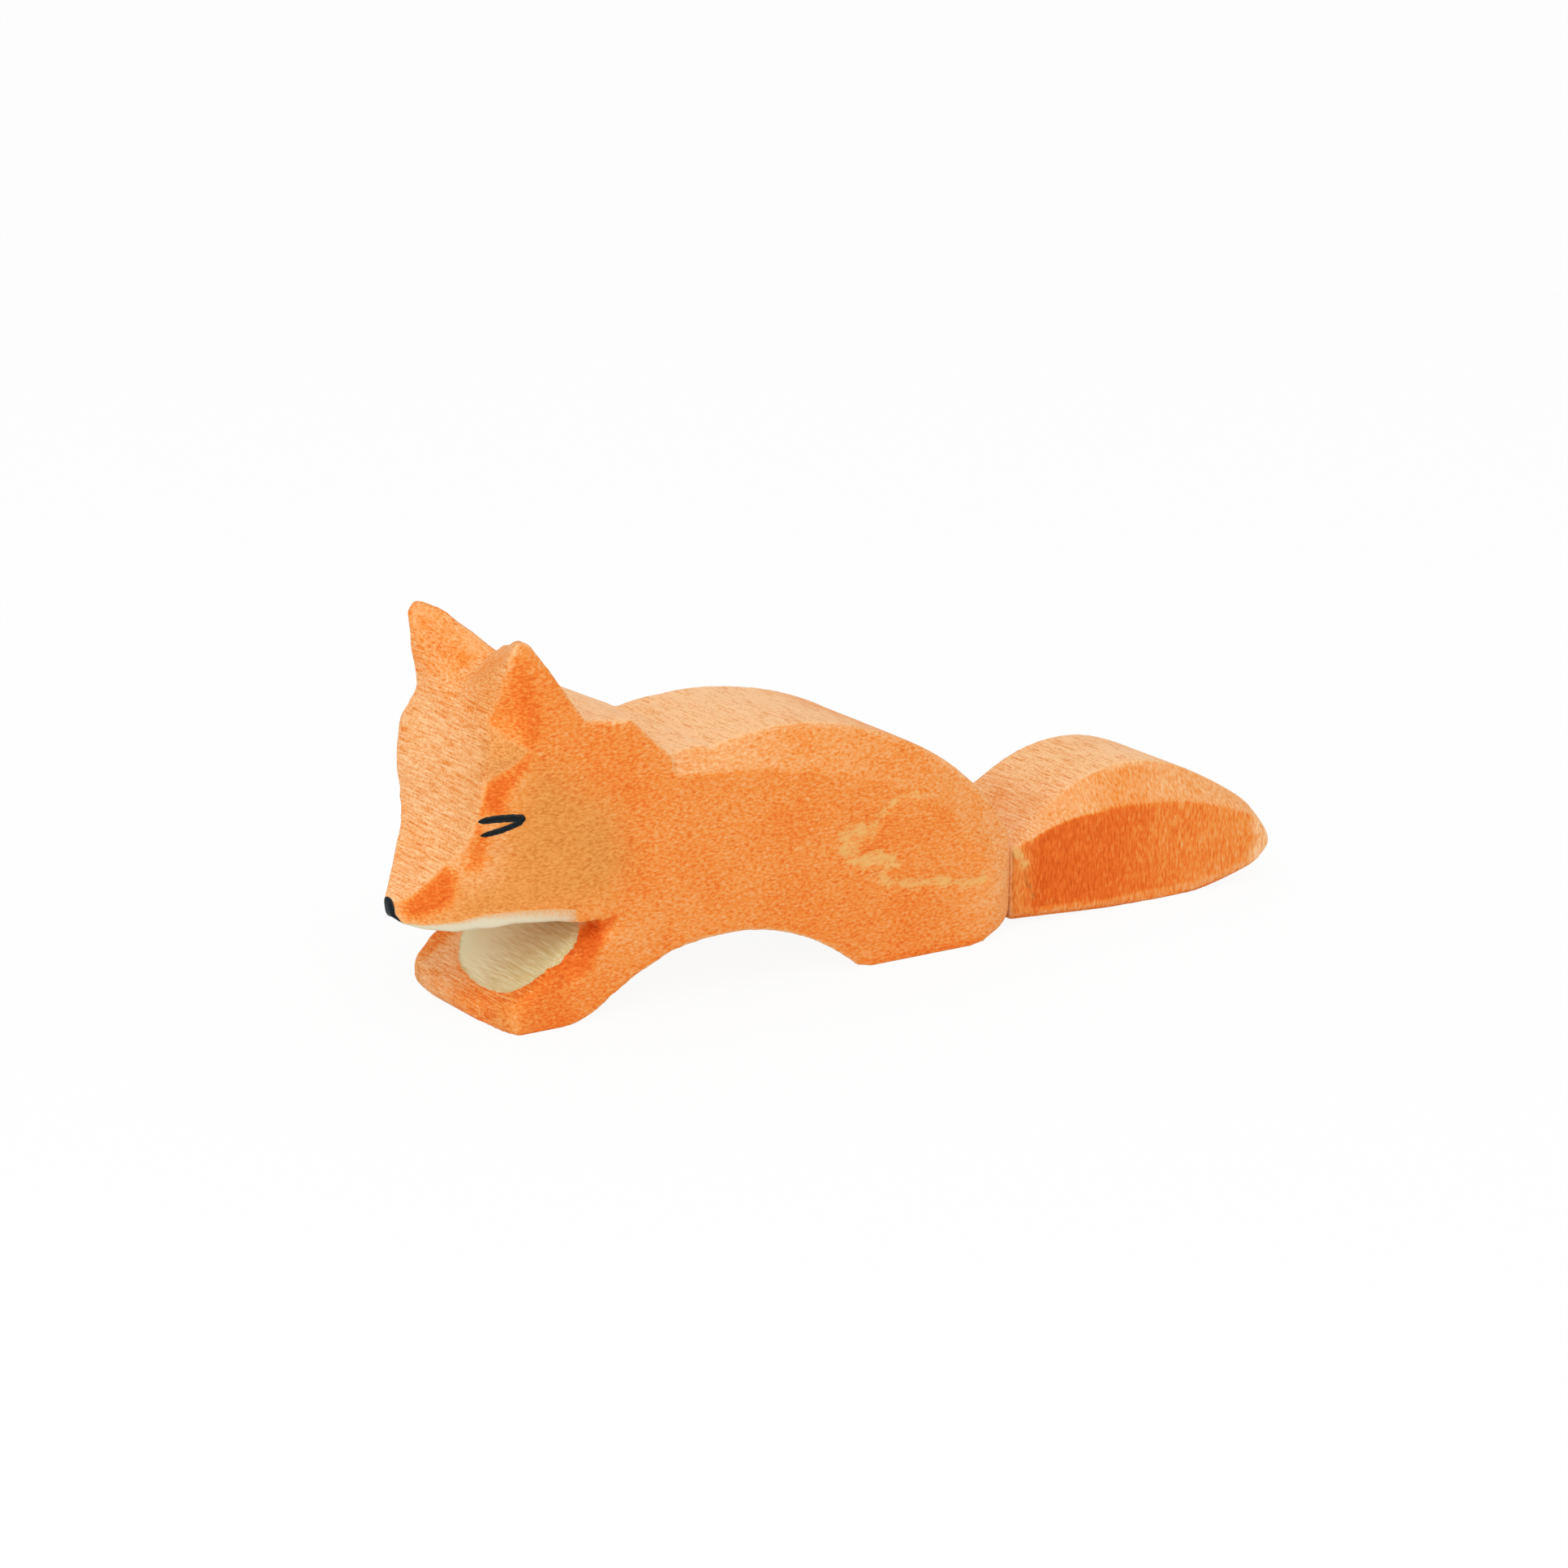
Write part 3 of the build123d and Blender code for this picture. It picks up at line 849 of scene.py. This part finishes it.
# Darker along the lower edge: deeper stain and painted shade near the table.
stain = brush(brush(stain, low_edge, low_edge_stain_and_shade), 0.5 * pale_line, pale_line_stain)
root = 1 - climb(station, body_length + 0.6, body_length + 4.4)
stain = brush(stain, root * planed, root_stain)
stain = brush(stain, along(sides, tip_line, 2.0), tip_stain)
stain = stain - tail_worn_loss * climb(ridges(tail), *worn_ridge)

end_grain = climb(station, tail_end - 1.2, tail_end - 0.4)
bare = np.maximum(along(sides, root_chip, 1.1), end_grain)
brown = np.maximum(0.8 * along(sides, joint_line, 0.4), 0.7 * along(sides, root_brown_line, 0.5))
keep_mark(tail, "stain", stain)
keep_mark(tail, "sawn", sawn)
keep_mark(tail, "tan", root_tan * root * planed)
keep_mark(tail, "bare", bare)
keep_mark(tail, "brown", brown)
print("Stain on the tail:", round(float(stain.min()), 2), "to", round(float(stain.max()), 2))

# %% [markdown]
# ## Patterns in the wood
# Under a lens the wood is full of small marks. An image would need unwrapping and would show seams on
# a carved piece, so the marks are noise in space: a Mapping node stretches it until its spots are as
# long, as wide and as high as the marks on the real fox. The amounts of stain come from the attributes.

# %% Read patterns and marks


def pattern(start, size, detail=2.0, roughness=0.5, distortion=0.0):
    """A noise whose spots have the given sizes along the fox, across it and up."""
    place = start.node("ShaderNodeTexCoord", {}, {}, "Object")
    stretched = start.node("ShaderNodeMapping", {}, {
        "Vector": place,
        "Scale": tuple(1 / (length * mm) for length in size),
    })
    return start.node("ShaderNodeTexNoise", {}, {
        "Vector": stretched,
        "Scale": 1.0,
        "Detail": detail,
        "Roughness": roughness,
        "Distortion": distortion,
    }, "Fac")


def mark(start, name):
    """An attribute of the piece."""
    return start.node("ShaderNodeAttribute", {"attribute_name": name}, {}, "Fac")


print("Patterns are ready")

# %% [markdown]
# ## Stained wood
# The colour comes from the amount of stain by way of a ramp from pale wood to red brown. Fine patterns
# are added to the amount before it reaches the ramp: saw lines that run across the board with a speckle
# between them, a stipple on the planed sides and a slow cloud. Dark pores lie on top, and the same
# patterns feed the bump, so that light and colour agree.

# %% Mix the wood's finish
ramp_stops = [
    (0.0, (0.956, 0.570, 0.290)),
    (0.192, (0.878, 0.430, 0.170)),
    (0.352, (0.866, 0.345, 0.104)),
    (0.48, (0.852, 0.272, 0.044)),
    (0.64, (0.823, 0.178, 0.024)),
    (0.80, (0.753, 0.132, 0.013)),
    (1.0, (0.600, 0.080, 0.006)),
]
ramp_reach = 0.8  # place on the ramp of an amount of 1
pore_colour = (0.56, 0.150, 0.030)
tan_light = (0.82, 0.345, 0.083)
tan_dark = (0.62, 0.190, 0.029)
bare_colour = (0.82, 0.46, 0.145)
brown_colour = (0.46, 0.15, 0.03)
saw_line_size = (0.18, 3.0, 0.18)
speckle_size = (0.25, 0.35, 0.25)
cloud_size = (7.0, 9.0, 7.0)
wear_size = (1.6, 1.6, 1.0)
saw_contrast = 1.6
speckle_contrast = 0.9
side_contrast = 1.35
cloud_contrast = 0.35
pore_strength = 0.33
bare_strength = 0.92
brown_strength = 0.6


def stained_wood(name, side_size):
    """Wood under a thin stain, with a pattern of its own on its planed sides."""
    material, start = start_material(name)
    saw_lines = pattern(start, saw_line_size, 2.0, 0.65, 0.1)
    speckle = pattern(start, speckle_size, 1.0)
    stipple = pattern(start, side_size, 2.0, 0.6, 0.4)
    cloud = pattern(start, cloud_size, 3.0)
    wear = pattern(start, wear_size, 2.0)
    side_marks = (stipple - 0.5) * side_contrast
    saw_marks = (saw_lines - 0.5) * saw_contrast + (speckle - 0.5) * speckle_contrast
    marks = side_marks + (saw_marks - side_marks) * mark(start, "sawn")
    amount = mark(start, "stain") + marks + (cloud - 0.5) * cloud_contrast
    colour = start.node("ShaderNodeValToRGB", {"stops": ramp_stops}, {"Fac": amount * ramp_reach})
    tan_colour = mix_colours(rise(marks, -0.3, 0.4), (*tan_light, 1), (*tan_dark, 1))
    colour = mix_colours(mark(start, "tan"), colour, tan_colour)
    pores = rise(marks, 0.08, 0.4) * pore_strength
    colour = mix_colours(pores, colour, (*pore_colour, 1))
    bare_amount = mark(start, "bare") - marks * 0.9 + (wear - 0.5) * 1.5
    bare = rise(bare_amount, 0.2, 1.05) * bare_strength
    colour = mix_colours(bare, colour, (*bare_colour, 1))
    brown_amount = mark(start, "brown") + marks * 0.6 + (wear - 0.5) * 1.6
    brown = rise(brown_amount, 0.3, 1.0) * brown_strength
    colour = mix_colours(brown, colour, (*brown_colour, 1))
    bump = start.node("ShaderNodeBump", {}, {
        "Strength": 0.6,
        "Distance": 0.06 * mm,
        "Height": 0.5 - marks,
    })
    shader = start.node("ShaderNodeBsdfPrincipled", {}, {
        "Base Color": colour,
        "Roughness": 0.55 + marks * 0.15,
        "Specular IOR Level": 0.06,
        "Normal": bump,
    })
    end_material(start, shader)
    return material


def finish_wood(piece, material, slot, *nodes):
    """Gives a piece its finish and lets it stand for its solids."""
    piece.data.materials.clear()
    piece.data.materials.append(material)
    piece.data.shade_smooth()
    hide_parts(*nodes)
    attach(piece, "root")


body_stipple = (0.50, 0.36, 0.24)
tail_stipple = (0.24, 0.40, 0.9)
finish_wood(body, stained_wood("stained_body", body_stipple), "body_wood", "body")
finish_wood(tail, stained_wood("stained_tail", tail_stipple), "tail_wood", "tail")
print("Finishes:", [material.name for material in bpy.data.materials])

# %% [markdown]
# ## Flat shapes for paint
# The cream and black touches are films of brush paint. They could be drawn into the wood's material,
# but then they would have no thickness and couldn't stand for their solids. So each is a piece of its
# own, and starts as a flat shape: a disc for a dab, a strip for a stroke.

# %% Cut flat shapes
disc_merge = 1e-6


def disc(rings, spokes):
    """A round sheet of radius 1 in a bmesh, spun from one row of vertices."""
    bm = bmesh.new()
    row = [bm.verts.new((ring / rings, 0, 0)) for ring in range(rings + 1)]
    threads = [bm.edges.new(pair) for pair in zip(row, row[1:])]
    bmesh.ops.spin(bm, geom=row + threads, axis=(0, 0, 1), angle=math.tau, steps=spokes, use_merge=True)
    bmesh.ops.remove_doubles(bm, verts=bm.verts, dist=disc_merge)
    return bm


def strip(steps, width_steps):
    """A strip from 0 to 1 in both directions."""
    bm = bmesh.new()
    bmesh.ops.create_grid(bm, x_segments=steps, y_segments=width_steps, size=0.5)
    bmesh.ops.translate(bm, verts=bm.verts, vec=(0.5, 0.5, 0))
    return bm


print("Flat shapes are ready")

# %% [markdown]
# ## Pressing paint onto the wood
# A flat shape is pressed onto the wood: every vertex is shot at the wood along one direction and stops
# just above its surface, while the rim sinks in a little. A Shrinkwrap modifier does nearly the same,
# but it can't bend the shape to the brush's outline on the way. The film then gets its thickness.

# %% Press a film of paint onto the wood
film_lift = 0.05
rim_sink = 0.03
lift_slope = 8  # the film has its full lift where an eighth of the paint covers
sink_slope = 12
film_depth = 0.2
film_merge = 0.004

bm = bmesh.new()
bm.from_mesh(body.data)
wood_skin = BVHTree.FromBMesh(bm)
bm.free()


def press(bm, aim, cover_of, reach=30.0):
    """Shoots every vertex at the wood and extrudes the film into it, so that it is a closed thin shell.

    For a vertex of the flat shape, aim gives a start and a direction, and cover_of the paint's share.
    A shot that finds no wood goes to the nearest.
    """
    cover_layer = bm.verts.layers.float.new("cover")
    inward = bm.verts.layers.float_vector.new("inward")
    for vert in bm.verts:
        cover = cover_of(vert.co)
        begin, direction = aim(vert.co)
        hit, normal, _, _ = wood_skin.ray_cast(begin, direction, reach * mm)
        if hit is None:
            hit, normal, _, _ = wood_skin.find_nearest(begin)
        lift = film_lift * min(cover * lift_slope, 1) - rim_sink * (1 - min(cover * sink_slope, 1))
        vert.co = hit + normal * lift * mm
        vert[cover_layer] = cover
        vert[inward] = direction
    bmesh.ops.remove_doubles(bm, verts=bm.verts, dist=film_merge * mm)
    made = bmesh.ops.extrude_face_region(bm, geom=list(bm.faces))["geom"]
    for vert in made:
        if isinstance(vert, bmesh.types.BMVert):
            vert.co += vert[inward] * film_depth * mm
    bm.verts.layers.float_vector.remove(inward)
    bmesh.ops.recalc_face_normals(bm, faces=bm.faces)


def finish_paint(bm, material, node):
    """Makes a film a piece, gives it its paint and lets it stand for its solid."""
    mesh = bpy.data.meshes.new("fox_" + node)
    bm.to_mesh(mesh)
    bm.free()
    piece = bpy.data.objects.new("fox_" + node, mesh)
    scene.collection.objects.link(piece)
    mesh.materials.append(material)
    mesh.shade_smooth()
    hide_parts(node)
    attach(piece, "root")
    print(piece.name, "has", len(mesh.polygons), "faces")


print("The wood is ready for paint")

# %% [markdown]
# ## Brush paint
# Thin paint lets the wood show at its edges and along the saw lines, so its colour is mixed from the
# full paint and thin paint by how well it covers. Real transparency would show the inside of the film,
# so thin paint is simply another colour. The black has a faint shine.

# %% Mix the paints
cream_full = (0.69, 0.63, 0.45)
chest_full = (0.83, 0.84, 0.57)
# The chest's thin colour is brown thin paint, and partly painted shade under the jaw.
chest_thin_and_shade = (0.60, 0.44, 0.19)
jaw_thin = (0.74, 0.31, 0.08)
# The black's faint blue tint is partly a painted sheen.
black_full_with_sheen = (0.006, 0.011, 0.014)
black_thin = (0.045, 0.040, 0.033)
streak_size = (0.2, 3.0, 0.2)


def brush_paint(name, full, thin, roughness, fullness, raggedness):
    """Paint that a brush laid on thinly: fullness moves it from thin to full all over."""
    material, start = start_material(name)
    streaks = pattern(start, streak_size, 3.0, 0.6)
    covered = rise(mark(start, "cover") + (streaks - 0.5) * raggedness, -fullness, 0.65 - fullness)
    colour = mix_colours(covered, (*thin, 1), (*full, 1))
    bump = start.node("ShaderNodeBump", {}, {
        "Strength": 0.4,
        "Distance": 0.05 * mm,
        "Height": streaks,
    })
    shader = start.node("ShaderNodeBsdfPrincipled", {}, {
        "Base Color": colour,
        "Roughness": roughness + (streaks - 0.5) * 0.2,
        "Specular IOR Level": 0.08,
        "Normal": bump,
    })
    end_material(start, shader)
    return material


cream_paint = brush_paint(
    "cream_paint", chest_full, chest_thin_and_shade, roughness=0.65, fullness=0.1, raggedness=0.9
)
jaw_paint = brush_paint(
    "jaw_paint", cream_full, jaw_thin, roughness=0.65, fullness=0.15, raggedness=0.6
)
black_paint = brush_paint(
    "black_paint", black_full_with_sheen, black_thin, roughness=0.40, fullness=0.1, raggedness=1.6
)
print("Paints:", cream_paint.name, jaw_paint.name, black_paint.name)

# %% [markdown]
# ## Chest
# The cream patch lies on the slope between the forelegs, under the jaw. Its solid is a flat oval, so
# the slope's direction is read from the corners of the solid's box. The rim is ragged where the brush
# was lifted. Its vertices are moved for that, because a texture on an oval would leave the edge smooth.

# %% Paint the chest
patch_low, patch_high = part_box("chest_patch")
patch_middle = (patch_low + patch_high) / 2
slope = Vector((patch_high.x - patch_low.x, 0, patch_high.z - patch_low.z))
slope_half = slope.length / 2
slope.normalize()
chest_out = Vector((-slope.z, 0, slope.x))
patch_half = (patch_high.y - patch_low.y) / 2
chest_stand_off = 0.4  # where the shots at the chest start
chest_reach = 1.9
chest_fade = 12  # the paint runs out over the last twelfth of the disc
least_cover = 0.12
middle_cover = 0.28
side_gain = 0.48
rim_size = 1.01
rim_waves = 0.02
wave_count = 2.5
rim_teeth = 0.02
tooth_count = 16
rim_lobes = [(0.18, -130, 24), (0.09, -20, 26)]  # size, angle and width: fuller towards the paws


def aim_at_chest(flat):
    """Start and direction for a vertex of the chest's disc."""
    angle = math.atan2(flat.y, flat.x)
    around = Vector((math.cos(angle), math.sin(angle), 0))
    lobes = sum(
        size * math.exp(-((math.degrees(angle) - at) / width) ** 2)
        for size, at, width in rim_lobes
    )
    waves = rim_waves * noise.noise(around * wave_count)
    teeth = rim_teeth * noise.noise(around * tooth_count)
    rim = rim_size + lobes + waves + teeth
    across = Vector((0, flat.x * patch_half * rim, 0))
    place = patch_middle + across + slope * flat.y * slope_half * rim
    return place + chest_out * chest_stand_off * mm, -chest_out


# Thin cover turns the cream brown: thin paint, and partly painted shade under the jaw.
def chest_cover_and_shade(flat):
    """Paint cover, full at the right of the fox's chest and thin at the left, where the brown is partly
    painted shade under the jaw.
    """
    rim = min(chest_fade - chest_fade * flat.length, 1)
    return rim * max(least_cover, middle_cover + side_gain * flat.x)


bm = disc(rings=48, spokes=260)
press(bm, aim_at_chest, chest_cover_and_shade, chest_reach)
finish_paint(bm, cream_paint, "chest_patch")

# %% [markdown]
# ## Jaw
# A stroke of cream runs along the lower edge of each jaw. It starts thin near the nose, is soon as wide
# as the brush, and fades out upwards into the cheek. Carving has moved that edge away from the solid's,
# so it is looked for in the wood, by shooting from ever higher places until a shot hits.

# %% Paint the jaw stripes
stripe_width = 2.15
stripe_lead = 1.7  # the brush was set down a little before the solid's front end
search_depth = 0.8
search_step = 0.04
stripe_raggedness = 0.5


def jaw_film(node, sign):
    """The stripe on one jaw, which sign puts on the left or on the right."""
    low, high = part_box(node)
    front = (low.x - cad_low.x) / mm - stripe_lead
    length = (high.x - cad_low.x) / mm - front
    sideways = Vector((0, -sign, 0))

    def aim(flat):
        """Start and direction for a vertex of the stripe, which swells in front and narrows behind."""
        width = stripe_width * (1 - (1 - flat.x) ** 2.6) * (1 - 0.2 * flat.x ** 6)
        ragged = stripe_raggedness * noise.noise(Vector((0, flat.y * 9, sign))) * flat.x
        place = spot(front + flat.x * length + ragged, 2 * sign * half_board, low.z / mm - search_depth)
        while wood_skin.ray_cast(place, sideways, 2 * half_board * mm)[0] is None:
            place.z += search_step * mm
        place.z += flat.y * width * mm
        return place, sideways

    bm = strip(steps=110, width_steps=16)
    press(bm, aim, lambda flat: min(1 - flat.y, 8 * (1 - flat.x)) * (1 - 0.8 * flat.x ** 3))
    return bm


finish_paint(jaw_film("left_jaw_stripe", -1), jaw_paint, "left_jaw_stripe")
finish_paint(jaw_film("right_jaw_stripe", 1), jaw_paint, "right_jaw_stripe")

# %% [markdown]
# ## Nose
# The nose is a dab of black on the tip of the muzzle, drawn out below into a fine line on both sides,
# where the brush slipped along the edge of the jaw. The tip is round, so the shots at it come from all
# round a place inside it, and not along one direction as on the flat chest.

# %% Paint the nose
nose_low, nose_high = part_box("nose_cap")
nose_drop = 0.2
nose_middle = Vector((nose_high.x, 0, (nose_low.z + nose_high.z) / 2 - nose_drop * mm))
nose_spread = math.radians(65)
slip_spread = math.radians(60)
slip_angle = math.radians(-52)
slip_width = 0.34  # radians
nose_stand_off = 4


def aim_at_nose(flat):
    """Start and direction for a vertex of the nose's dab."""
    angle = math.atan2(flat.y, abs(flat.x))
    slip = math.exp(-((angle - slip_angle) / slip_width) ** 2)
    lean = flat.length * (nose_spread + slip_spread * slip)
    sidewards = math.sin(lean) * math.cos(math.atan2(flat.y, flat.x))
    outward = Vector((-math.cos(lean), sidewards, math.sin(lean) * math.sin(angle)))
    return nose_middle + outward * nose_stand_off * mm, -outward


bm = disc(rings=12, spokes=96)
press(bm, aim_at_nose, lambda flat: min(3 - 3 * flat.length, 1))
finish_paint(bm, black_paint, "nose_cap")

# %% [markdown]
# ## Eyes
# Each eye is two strokes of a fine brush that meet at the rear corner, so the fox looks half asleep.
# A stroke is a strip with round ends, bent along a curve that three places draw. A curve object with a
# bevel would stand too high above the wood, and a strip can be pressed onto it like the other films.

# %% Paint the eyes
upper_stroke = ((10.85, 22.55), (8.6, 22.95), (6.45, 22.45), 0.98)  # rear, middle, front and width
lower_stroke = ((10.7, 22.4), (9.2, 21.5), (6.8, 20.85), 0.84)
stroke_raggedness = 0.06
eye_reach = 3.4
eye_fullness = 0.8


def eye_stroke(sign, rear, middle, front, width):
    """One stroke of an eye."""
    stations, heights = zip(rear, middle, front)

    def aim(flat):
        """Start and direction for a vertex of the stroke."""
        share = flat.x
        weights = (1 - share) ** 2, 2 * share * (1 - share), share ** 2
        station = sum(weight * value for weight, value in zip(weights, stations))
        height = sum(weight * value for weight, value in zip(weights, heights))
        wide = width * min(1, (share / 0.06 + 0.05) ** 0.5) * (1 - share ** 9) ** 0.5
        ragged = stroke_raggedness * noise.noise(Vector((share * 12, round(flat.y), width)))
        place = spot(station, sign * half_board, height + (flat.y - 0.5) * wide + ragged)
        return place, Vector((0, -sign, 0))

    bm = strip(steps=48, width_steps=8)
    press(bm, aim, lambda flat: eye_fullness - eye_fullness * abs(2 * flat.y - 1), eye_reach)
    return bm


def eye_film(sign):
    """Both strokes of an eye in one bmesh."""
    whole = eye_stroke(sign, *upper_stroke)
    lower = eye_stroke(sign, *lower_stroke)
    spare = bpy.data.meshes.new("spare")
    lower.to_mesh(spare)
    lower.free()
    whole.from_mesh(spare)
    bpy.data.meshes.remove(spare)
    return whole


finish_paint(eye_film(-1), black_paint, "left_eye")
finish_paint(eye_film(1), black_paint, "right_eye")

# %% [markdown]
# ## Dowel
# The pin between rump and tail is hidden. It would be a short length of a bought rod, glued into both.
# Nothing has carved it, so its solid is shown as it is and only gets a finish of pale fibres.

# %% Finish the dowel
fibre_size = (9.0, 0.4, 0.4)
fibre_dark = (0.62, 0.40, 0.20)
fibre_pale = (0.80, 0.60, 0.38)

dowel_paint, start = start_material("plain_dowel")
fibres = pattern(start, fibre_size, 3.0)
dowel_colour = mix_colours(fibres, (*fibre_dark, 1), (*fibre_pale, 1))
end_material(start, start.node("ShaderNodeBsdfPrincipled", {}, {
    "Base Color": dowel_colour,
    "Roughness": 0.6 + fibres * 0.2,
}))
dowel = frame["nodes"]["tail_dowel"]
dowel.data.materials.clear()
dowel.data.materials.append(dowel_paint)
print("Dowel finished")
